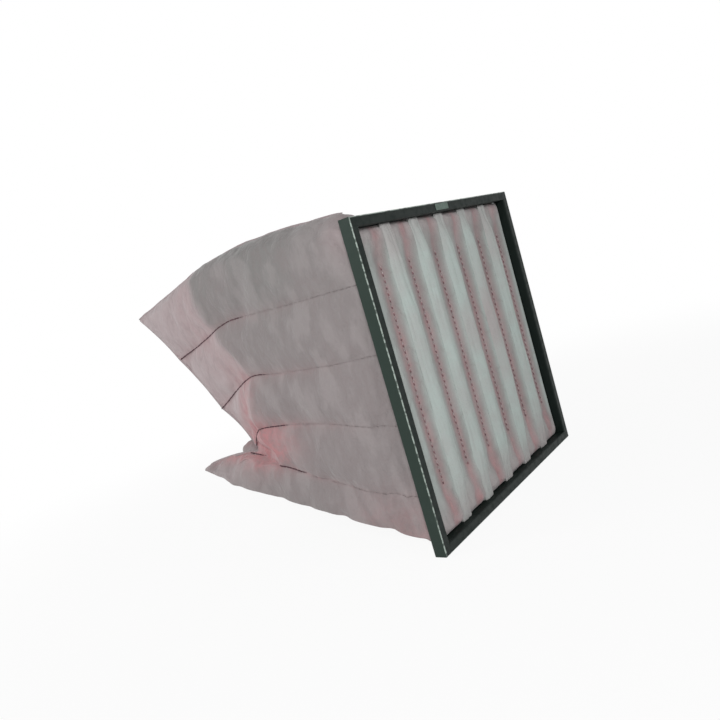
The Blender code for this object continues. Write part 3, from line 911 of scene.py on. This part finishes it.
def cloth_marks(form, station, u, v, point):
    """How pink, pale or mint the cloth is at a point."""
    kind, value = station
    share = station_share(form, station, v)
    notch_y = form.tail_y(0.3)
    notch_z = form.height(0.3, notch_y)
    away = math.hypot((point.y - notch_y + 0.045) / 0.075, (point.z - notch_z - 0.012) / 0.042)
    blush = min(1.0, 1.25 * form.notch * math.exp(-(away**2)))
    on_flap = math.hypot((point.y - notch_y - 0.05) / 0.085, (point.z - form.line_z(1, point.y) + 0.004) / 0.011)
    blush = max(blush, 0.75 * form.notch * math.exp(-(on_flap**2)) * (1 if v < 0.25 else 0))
    crease = form.crease_w(v)
    past = share - crease
    low_end = 1 - smooth_step((point.z - 0.30) / 0.12)
    on_crease = math.exp(-(((past - 0.07) / 0.08) ** 2)) * smooth_step((v - 0.3) / 0.08)
    blush += (0.10 + 0.42 * low_end) * on_crease * (1 if kind in ("wall", "tail") else 0)
    blush += 0.22 * form.seam_nearness(v) ** 6 * smooth_step(share / 0.6)
    blush += 0.30 * (1 - smooth_step(point.z / 0.16)) * (1 - smooth_step((share - 0.1) / 0.3)) * (v < 0.3)
    # Painted light: paler cloth on the tail panel past the crease, and on the crown's top edge beside the header
    bloom = smooth_step((past + 0.01) / 0.05) * (0.95 if v > 0.2 else 0.35)
    bloom = max(bloom, 0.7 * math.exp(-(((v - 1.0) / 0.16) ** 2)) * math.exp(-((share / 0.06) ** 2)))
    mint = 0.0
    if kind == "front":
        from_valley = u - form.mouth_skew
        mint = 0.15 + 0.85 * smooth_step((abs(from_valley) - 0.14) / 0.42)
        # Less mint left of the valley, on the flank beside the rib to its left: painted shade
        mint *= 0.72 if from_valley < 0 else 1.0
        blush = 0.55 * math.exp(-((from_valley / 0.20) ** 2))
        rise = (form.mouth_z(v) - OPENING_BOTTOM) / OPENING_HEIGHT
        ends = 1 - smooth_step(min((1 - rise) / 0.14, rise / 0.17))
        # The mouths' closed ends take a paler tone in place of the mint
        bloom = 0.8 * ends
        mint *= 1 - 0.75 * ends
    return {"blush": min(blush, 1.0), "bloom": bloom, "mint": mint}


def paced(points, pitch):
    """Points a pitch apart along a path, each with the path's direction."""
    spots = []
    travelled = 0.0
    due = pitch / 2
    for a, b in zip(points, points[1:]):
        run = b - a
        while due <= travelled + run.length and run.length > 1e-9:
            share = (due - travelled) / run.length
            spots.append((a + run * share, run.normalized()))
            due += pitch
        travelled += run.length
    return spots


def stitch_object(name, stitches, finish):
    """Raised stitches in one mesh, each from its spot, direction, outward side, length, width and fade."""
    bm = bmesh.new()
    bmesh.ops.create_uvsphere(bm, u_segments=6, v_segments=4, radius=1.0)
    shape = [vert.co.copy() for vert in bm.verts]
    while len(bm.verts) < len(shape) * len(stitches):
        bmesh.ops.duplicate(bm, geom=bm.verts[:] + bm.edges[:] + bm.faces[:])
    spare = bm.verts[:][len(shape) * len(stitches) :]
    bmesh.ops.delete(bm, geom=spare, context="VERTS")
    fades = []
    for i, vert in enumerate(bm.verts):
        spot, along, outward, length, width, fade = stitches[i // len(shape)]
        local = shape[i % len(shape)]
        across = along.cross(outward).normalized()
        out = across.cross(along).normalized()
        vert.co = spot + along * local.z * length / 2 + (across * local.x + out * local.y) * width / 2
        fades.append(fade)
    piece = mesh_object(name, bm, finish)
    layer = piece.data.attributes.new("fade", "FLOAT", "POINT")
    layer.data.foreach_set("value", fades)
    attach(piece, "root")
    return piece


# Operators


class FILTER_OT_header(bpy.types.Operator):
    """Finish the rails, keys, strips and tag"""

    bl_idname = "filter.header"
    bl_label = "Header Finishes"

    def execute(self, context):
        header, _, _ = settings_of(context)
        looks = {
            "header_rail": paint_finish(header),
            "tag_plate": tag_finish(header),
            "divider_strip": steel_finish(),
            "corner_key": key_finish(),
        }
        for name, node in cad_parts.items():
            for start, look in looks.items():
                if name.startswith(start):
                    for place in node.material_slots:
                        place.material = look
        return {"FINISHED"}


class FILTER_OT_pockets(bpy.types.Operator):
    """Sew the cloth pockets, each a closed skin in place of its plain solid"""

    bl_idname = "filter.pockets"
    bl_label = "Cloth Pockets"

    # Inner pockets are hidden, and have a coarser grid
    inner_up = 0.7
    inner_along = 0.6
    # How far an outer pocket may bulge past its solid, and rise above it
    bulge = 0.006
    crown_lift = 0.002

    def execute(self, context):
        _, settings, _ = settings_of(context)
        finish = cloth_finish("pink_nonwoven", settings)
        SEWN.clear()
        for index in range(POCKET_COUNT):
            SEWN.append(self.sew(index, settings, finish))
        pieces = [sewn["piece"] for sewn in SEWN]
        moved = billow_cloth(pieces, [sewn["pins"] for sewn in SEWN], settings)
        for sewn, places in zip(SEWN, moved):
            self.settle(sewn, places, settings.billow_cap)
        for index, sewn in enumerate(SEWN):
            piece = sewn["piece"]
            subdivide(piece)
            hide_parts(f"pocket_{index + 1}")
            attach(piece, "root")
        return {"FINISHED"}

    def sew(self, index, settings, finish):
        form = PocketForm(index, settings)
        up_steps = settings.up_steps if form.outer else max(4, round(settings.up_steps * self.inner_up))
        along_steps = settings.along_steps if form.outer else round(settings.along_steps * self.inner_along)
        rows = channel_rows(up_steps)
        stations = pocket_columns(form, along_steps)
        inner = [form.step_in * (step / 6 - 1) for step in range(13)]
        across = [-1.0, -form.step_out] + inner + [form.step_out, 1.0]
        counts = (len(across) - 1, len(rows) - 1, len(stations) - 1)
        bm = lattice_block(*counts)
        marks = []
        pins = []
        grid = {}
        for order, vert in enumerate(bm.verts):
            i, k, j = (round(part) for part in vert.co)
            grid[i, j, k] = order
            u, v, station = across[i], rows[j], stations[k]
            vert.co = station_point(form, station, u, v)
            marks.append(cloth_marks(form, station, u, v, vert.co))
            pins.append(self.held(station, (i, j, k), counts, up_steps))
        bmesh.ops.recalc_face_normals(bm, faces=bm.faces)
        piece = mesh_object(f"pocket_cloth_{index + 1}", bm, finish)
        paint_cloth(piece.data, marks)
        return {"piece": piece, "form": form, "grid": grid, "pins": pins, "counts": counts, "steps": up_steps}

    def held(self, station, place, counts, up_steps):
        """1 where the cloth is sewn or clamped, less beside it, 0 where it is free."""
        i, j, k = place
        last_i, last_j, last_k = counts
        if station[0] in ("front", "ring") and k < 4:
            return 1.0
        if i in (0, last_i) and j % up_steps == 0:
            share = k / last_k
            return 0.3 if share < 0.3 else 0.6 if share < 0.5 else 1.0
        if j in (0, last_j) or k == last_k:
            return 1.0 if i == last_i // 2 else 0.3
        return 0.0

    def settle(self, sewn, places, cap):
        """Moves each point to its place, no further than the cap, and clear of the neighbour's cloth."""
        form = sewn["form"]
        for vert, place in zip(sewn["piece"].data.vertices, places):
            step = place - vert.co
            if step.length > cap:
                step *= cap / step.length
            if vert.co.z > OPENING_TOP:
                step.z = min(step.z, self.crown_lift if form.outer else 0.0)
            spot = vert.co + step
            fan = form.fan(spot.y)
            limit = PITCH / 2 * fan - 0.6 * GAP
            off = spot.x - form.centre * fan
            free = self.bulge if spot.y > form.puff_start else 0.0
            low = -limit - (free if form.outer_left else 0.0)
            high = limit + (free if form.outer_right else 0.0)
            spot.x = form.centre * fan + min(max(off, low), high)
            vert.co = spot
        sewn["piece"].data.update()


def all_sewn():
    """Every sewn pocket. Their threads and hems come after all of them."""
    if len(SEWN) != POCKET_COUNT:
        raise RuntimeError("the pockets come before their stitching and hems")
    return SEWN


def seam_points(sewn, side, line):
    """Where one sewn seam lies on the finished cloth, from the neck to the tail."""
    last_i, _, last_k = sewn["counts"]
    verts = sewn["piece"].data.vertices
    i = 0 if side < 0 else last_i
    j = line * sewn["steps"]
    return [verts[sewn["grid"][i, j, k]].co.copy() for k in range(2, last_k + 1)]


def valley_points(sewn):
    """The lowest line of the mouth on the finished cloth, bottom to top."""
    last_i, last_j, _ = sewn["counts"]
    verts = sewn["piece"].data.vertices
    valley_x = sewn["form"].centre + sewn["form"].mouth_skew * PITCH / 2
    points = []
    for j in range(last_j + 1):
        row = [verts[sewn["grid"][i, j, 0]].co for i in range(last_i + 1)]
        right = next(i for i, point in enumerate(row) if point.x > valley_x)
        low, high = row[right - 1], row[right]
        points.append(low.lerp(high, (valley_x - low.x) / (high.x - low.x)))
    return points


def edge_points(sewn, first):
    """The pocket's outline in its middle plane: crown, tail and sole."""
    last_i, last_j, last_k = sewn["counts"]
    verts = sewn["piece"].data.vertices
    middle = last_i // 2
    keys = [(middle, last_j, k) for k in range(first, last_k + 1)]
    keys += [(middle, j, last_k) for j in range(last_j - 1, 0, -1)]
    keys += [(middle, 0, k) for k in range(last_k, first - 1, -1)]
    return [verts[sewn["grid"][key]].co.copy() for key in keys]


class FILTER_OT_ribs(bpy.types.Operator):
    """Lay the mint cloth ribs over the divider strips"""

    bl_idname = "filter.ribs"
    bl_label = "Mouth Ribs"

    # Depth at which a rib's soft head overhangs the pockets beside it, and those of its neck
    shoulder_y = FRONT_Y + 0.0122
    neck_y = (shoulder_y + 0.0026, shoulder_y + 0.0052)
    crest_height = 0.0112
    overhang = 0.0040
    left_overhang = 0.0026
    left_set_back = 0.0016
    bow = 0.0050
    # Shares of a rib's length, at its foot and its top, over which it sinks and crumples
    foot_share = 0.17
    top_share = 0.13
    rows = 90
    round_steps = 14

    def execute(self, context):
        _, settings, _ = settings_of(context)
        finish = rib_finish(settings)
        for index in range(1, SLEEVE_COUNT + 1):
            self.lay(index, finish)
        return {"FINISHED"}

    def lay(self, index, finish):
        low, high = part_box(f"divider_sleeve_{index}")
        centre = (low[0] + high[0]) / 2
        bm = lattice_block(self.round_steps, self.rows, len(self.neck_y) + 1)
        marks = []
        for vert in bm.verts:
            i, k, j = (round(part) for part in vert.co)
            share = j / self.rows
            z = low[2] + (high[2] - low[2]) * share
            seed = index * 5.1
            sway = billow(seed, z * 5.0, 0.7, 2) * 0.0060 + self.bow * math.sin(math.pi * share)
            ends = 1 - smooth_step(min(share / self.foot_share, (1 - share) / self.top_share))
            turn = math.pi * (1 - i / self.round_steps)
            left = 1.0 if turn > math.pi / 2 else 0.0
            spread = self.overhang + 0.0026 * billow(seed + 8.0, z * 7.0, 1.4, 2) + self.left_overhang * left
            head = SLEEVE_WIDTH / 2 + max(0.0, spread) * (1 - 0.4 * ends)
            crest = self.crest_height * (1 + 0.16 * billow(seed + 3.0, z * 8.0, 0.2, 2)) * (1 - 0.75 * ends)
            fold = 0.0030 * math.exp(-(((turn - 1.2 - 0.7 * billow(z * 3.5, seed, 2.0)) / 0.15) ** 2))
            second = 0.0022 * math.exp(-(((turn - 2.3 + 0.6 * billow(z * 4.5, seed, 7.0)) / 0.13) ** 2))
            ripple = billow(turn * 2.4, z * 26.0, seed, 3) * 0.0014
            pucker = abs(billow(turn * 2.0, z * 34.0, seed + 6.0, 2)) * 0.0055 * ends
            rise = max(0.0, math.sin(turn))
            low_side = self.left_set_back * left
            if k == 0:
                x = centre + sway * rise + head * math.cos(turn)
                y = self.shoulder_y + low_side * (1 - rise) - crest * rise**1.35
                y += (fold + second + ripple + pucker) * rise
            else:
                neck = SLEEVE_WIDTH / 2 - GAP
                x = centre + neck * math.cos(turn)
                y = (*self.neck_y, high[1])[k - 1]
            vert.co = Vector((x, y, z))
            marks.append(0.6 * max(0.0, billow(z * 8.0, seed, 5.0)) + 0.4 * ends)
        bmesh.ops.recalc_face_normals(bm, faces=bm.faces)
        piece = mesh_object(f"rib_cloth_{index}", bm, finish)
        layer = piece.data.attributes.new("blush", "FLOAT", "POINT")
        layer.data.foreach_set("value", marks)
        subdivide(piece)
        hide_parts(f"divider_sleeve_{index}")
        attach(piece, "root")


class FILTER_OT_wall_stitches(bpy.types.Operator):
    """Stitch the seams that part each pocket into channels"""

    bl_idname = "filter.wall_stitches"
    bl_label = "Wall Stitching"

    # How far a thread stands out of the wall, and over what length and to what share of its width it fades
    stand_out = 0.0011
    fade_length = 0.016
    fade_share = 0.72

    def execute(self, context):
        _, _, stitches = settings_of(context)
        # Towards the header the thread fades out, to a colour paler than the cloth: painted light that offsets the
        # shade in the seam groove
        finish = thread_finish("wall_thread", stitches.thread, (0.37, 0.31, 0.31))
        for index, sewn in enumerate(all_sewn()):
            rows = []
            for side in (-1, 1):
                for line in range(1, CHANNELS):
                    rows += self.sew(sewn, side, line, stitches)
            stitch_object(f"wall_stitches_{index + 1}", rows, finish)
        return {"FINISHED"}

    def sew(self, sewn, side, line, stitches):
        form = sewn["form"]
        v = line / CHANNELS
        outward = Vector((side, 0.12, 0.0)).normalized()
        points = [point + outward * self.stand_out for point in seam_points(sewn, side, line)]
        row = []
        for spot, along in paced(points, stitches.pitch):
            start = form.reach * (0.37 + 0.11 * v)
            fade = 1 - smooth_step((spot.y - start) / self.fade_length)
            width = stitches.thickness * (1.0 - self.fade_share * fade)
            row.append((spot, along, outward, stitches.pitch * (1.12 - 0.35 * fade), width, fade))
        return row


class FILTER_OT_mouth_stitches(bpy.types.Operator):
    """Stitch the valley down the middle of each pocket mouth"""

    bl_idname = "filter.mouth_stitches"
    bl_label = "Mouth Stitching"

    # How far a thread stands out of the valley, its width, and the share of each closed end that has none
    stand_out = 0.0024
    width = 0.0026
    bare_share = 0.8

    def execute(self, context):
        _, _, stitches = settings_of(context)
        finish = thread_finish("mouth_thread", stitches.mouth_thread, (0.66, 0.60, 0.60))
        for index, sewn in enumerate(all_sewn()):
            form = sewn["form"]
            low = OPENING_BOTTOM + form.bottom_puff_length * self.bare_share
            high = OPENING_TOP - form.top_puff_length * self.bare_share
            points = [point for point in valley_points(sewn) if low < point.z < high]
            row = []
            lift = Vector((0.0, -self.stand_out, 0.0))
            for count, (spot, along) in enumerate(paced(points, stitches.pitch * 0.85)):
                pale = 0.9 if count % 2 else 0.0
                row.append((spot + lift, along, Vector((0, -1, 0)), stitches.pitch * 0.66, self.width, pale))
            stitch_object(f"mouth_stitches_{index + 1}", row, finish)
        return {"FINISHED"}


class FILTER_OT_hems(bpy.types.Operator):
    """Weld the flat hem round the crown, tail and sole of each pocket"""

    bl_idname = "filter.hems"
    bl_label = "Pocket Hems"

    half_thickness = 0.0009
    inset = 0.003
    # The first station behind the header that has a hem
    first_station = 6

    def execute(self, context):
        _, pockets, stitches = settings_of(context)
        finish = hem_finish(pockets)
        for index, sewn in enumerate(all_sewn()):
            self.weld(index, sewn, stitches, finish)
        return {"FINISHED"}

    def weld(self, index, sewn, stitches, finish):
        points = edge_points(sewn, self.first_station)
        bm = bmesh.new()
        rings = []
        for i, point in enumerate(points):
            before = points[max(i - 1, 0)]
            after = points[min(i + 1, len(points) - 1)]
            along = (after - before).normalized()
            out = Vector((0.0, -along.z, along.y))
            out = -out if out.dot(Vector((0.0, point.y - 0.25, point.z - 0.33))) < 0 else out
            wave = 0.0010 * billow(point.y * 12.0, point.z * 12.0, index * 1.0)
            inner = point - out * self.inset
            outer = point + out * stitches.hem_width
            half = self.half_thickness
            ring = [bm.verts.new(inner + Vector((half, 0, 0))), bm.verts.new(outer + Vector((half + wave, 0, 0)))]
            ring += [bm.verts.new(outer + Vector((wave - half, 0, 0))), bm.verts.new(inner - Vector((half, 0, 0)))]
            rings.append(ring)
        loops = []
        for ring in rings:
            loops.append([bm.edges.new((ring[k], ring[(k + 1) % 4])) for k in range(4)])
        for low, high in zip(loops, loops[1:]):
            bmesh.ops.bridge_loops(bm, edges=low + high)
        bm.faces.new(rings[0])
        bm.faces.new(rings[-1])
        bmesh.ops.recalc_face_normals(bm, faces=bm.faces)
        piece = mesh_object(f"pocket_hem_{index + 1}", bm, finish)
        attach(piece, "root")


class FILTER_OT_stage(bpy.types.Operator):
    """Set the floor, the soft light and the camera"""

    bl_idname = "filter.stage"
    bl_label = "Stage"

    floor_radius = 6.0
    sensor_width = 36.0
    aim = Vector((0.0, 0.25, 0.3))
    # Each lamp's name, place, share of the key light's power, and size
    lamp_rows = (
        ("key_lamp", (-1.85, -1.35, 1.05), 1.0, 0.40),
        ("tail_lamp", (-1.5, 1.7, 1.1), 0.50, 0.6),
        ("side_lamp", (2.1, 1.0, 1.0), 0.30, 1.0),
    )

    def execute(self, context):
        settings = context.scene.filter_stage
        self.floor()
        self.world(context, settings)
        self.lamps(context, settings)
        self.camera(context, settings)
        context.scene.view_settings.view_transform = "Standard"
        return {"FINISHED"}

    def floor(self):
        bm = bmesh.new()
        bmesh.ops.create_circle(bm, cap_ends=True, segments=96, radius=self.floor_radius)
        bmesh.ops.translate(bm, vec=(0.0, 0.0, FLOOR_Z), verts=bm.verts)
        look = Finish("pale_floor")
        look.set(base_color=(0.9, 0.9, 0.9), roughness=1.0)
        glow = look.node("ShaderNodeEmission", {}, {"Color": (1.0, 1.0, 1.0), "Strength": 1.0})
        path = look.node("ShaderNodeLightPath")
        seen = Sum(look, path.outputs["Is Camera Ray"])
        shiny = Sum(look, path.outputs["Is Glossy Ray"])
        far = look.node("ShaderNodeVectorMath", {"operation": "LENGTH"}, {"Vector": look.place()})
        edge = Sum(look, far.outputs["Value"]).band(0.9, 2.2)
        through = Sum(look, path.outputs["Is Transmission Ray"])
        factor = (seen * (0.92 + 0.08 * edge) + shiny + through).held()
        sockets = {"Fac": factor, 1: look.principled.outputs[0], 2: glow.outputs[0]}
        blend = look.node("ShaderNodeMixShader", {}, sockets)
        output = look.tree.nodes["Material Output"]
        look.tree.links.new(blend.outputs[0], output.inputs["Surface"])
        mesh_object("pale_floor", bm, look.material)

    def world(self, context, settings):
        world = bpy.data.worlds.new("soft_sky")
        context.scene.world = world
        world.use_nodes = True
        tree = world.node_tree
        base = tree.nodes["Background"]
        base.inputs["Color"].default_value = (1.0, 1.0, 1.0, 1.0)
        base.inputs["Strength"].default_value = settings.sky
        white = tree.nodes.new("ShaderNodeBackground")
        white.inputs["Color"].default_value = (1.0, 1.0, 1.0, 1.0)
        white.inputs["Strength"].default_value = 1.0
        path = tree.nodes.new("ShaderNodeLightPath")
        blend = tree.nodes.new("ShaderNodeMixShader")
        joined = path.outputs["Is Camera Ray"]
        for kind in ("Is Glossy Ray", "Is Transmission Ray"):
            either = tree.nodes.new("ShaderNodeMath")
            either.operation = "MAXIMUM"
            tree.links.new(joined, either.inputs[0])
            tree.links.new(path.outputs[kind], either.inputs[1])
            joined = either.outputs[0]
        tree.links.new(joined, blend.inputs[0])
        tree.links.new(base.outputs[0], blend.inputs[1])
        tree.links.new(white.outputs[0], blend.inputs[2])
        tree.links.new(blend.outputs[0], tree.nodes["World Output"].inputs["Surface"])

    def lamps(self, context, settings):
        for name, place, share, size in self.lamp_rows:
            lamp = bpy.data.lights.new(name, "AREA")
            lamp.energy = settings.key * share
            lamp.size = size
            holder = bpy.data.objects.new(name, lamp)
            turned = (self.aim - Vector(place)).to_track_quat("-Z", "Y").to_matrix().to_4x4()
            holder.matrix_world = Matrix.Translation(place) @ turned
            context.scene.collection.objects.link(holder)

    def camera(self, context, settings):
        lens = bpy.data.cameras.new("photo_camera")
        lens.lens = settings.focal_length
        lens.sensor_width = self.sensor_width
        forward = Vector(settings.look).normalized()
        upward = Vector(settings.head)
        upward = (upward - forward * upward.dot(forward)).normalized()
        right = forward.cross(upward)
        turned = Matrix((right, upward, -forward)).transposed().to_4x4()
        holder = bpy.data.objects.new("photo_camera", lens)
        holder.matrix_world = Matrix.Translation(Vector(settings.eye)) @ turned
        context.scene.collection.objects.link(holder)
        context.scene.camera = holder


class FILTER_PT_panel(bpy.types.Panel):
    """Lists the filter's pieces in the order they are made"""

    bl_idname = "FILTER_PT_panel"
    bl_label = "Bag Filter"
    bl_space_type = "VIEW_3D"
    bl_region_type = "UI"
    bl_category = "Bag Filter"

    def draw(self, context):
        for operator in OPERATORS:
            self.layout.operator(operator.bl_idname)


GROUPS = {
    "filter_header": FilterHeaderSettings,
    "filter_pockets": FilterPocketSettings,
    "filter_stitches": FilterStitchSettings,
    "filter_stage": FilterStageSettings,
}
OPERATORS = (
    FILTER_OT_header,
    FILTER_OT_pockets,
    FILTER_OT_ribs,
    FILTER_OT_wall_stitches,
    FILTER_OT_mouth_stitches,
    FILTER_OT_hems,
    FILTER_OT_stage,
)


def register():
    for name, group in GROUPS.items():
        bpy.utils.register_class(group)
        setattr(bpy.types.Scene, name, PointerProperty(type=group))
    for operator in OPERATORS:
        bpy.utils.register_class(operator)
    bpy.utils.register_class(FILTER_PT_panel)


def unregister():
    bpy.utils.unregister_class(FILTER_PT_panel)
    for operator in reversed(OPERATORS):
        bpy.utils.unregister_class(operator)
    for name, group in GROUPS.items():
        delattr(bpy.types.Scene, name)
        bpy.utils.unregister_class(group)


def main():
    register()
    bpy.ops.filter.header()
    bpy.ops.filter.pockets()
    bpy.ops.filter.ribs()
    bpy.ops.filter.wall_stitches()
    bpy.ops.filter.mouth_stitches()
    bpy.ops.filter.hems()
    bpy.ops.filter.stage()


if __name__ == "__main__":
    main()
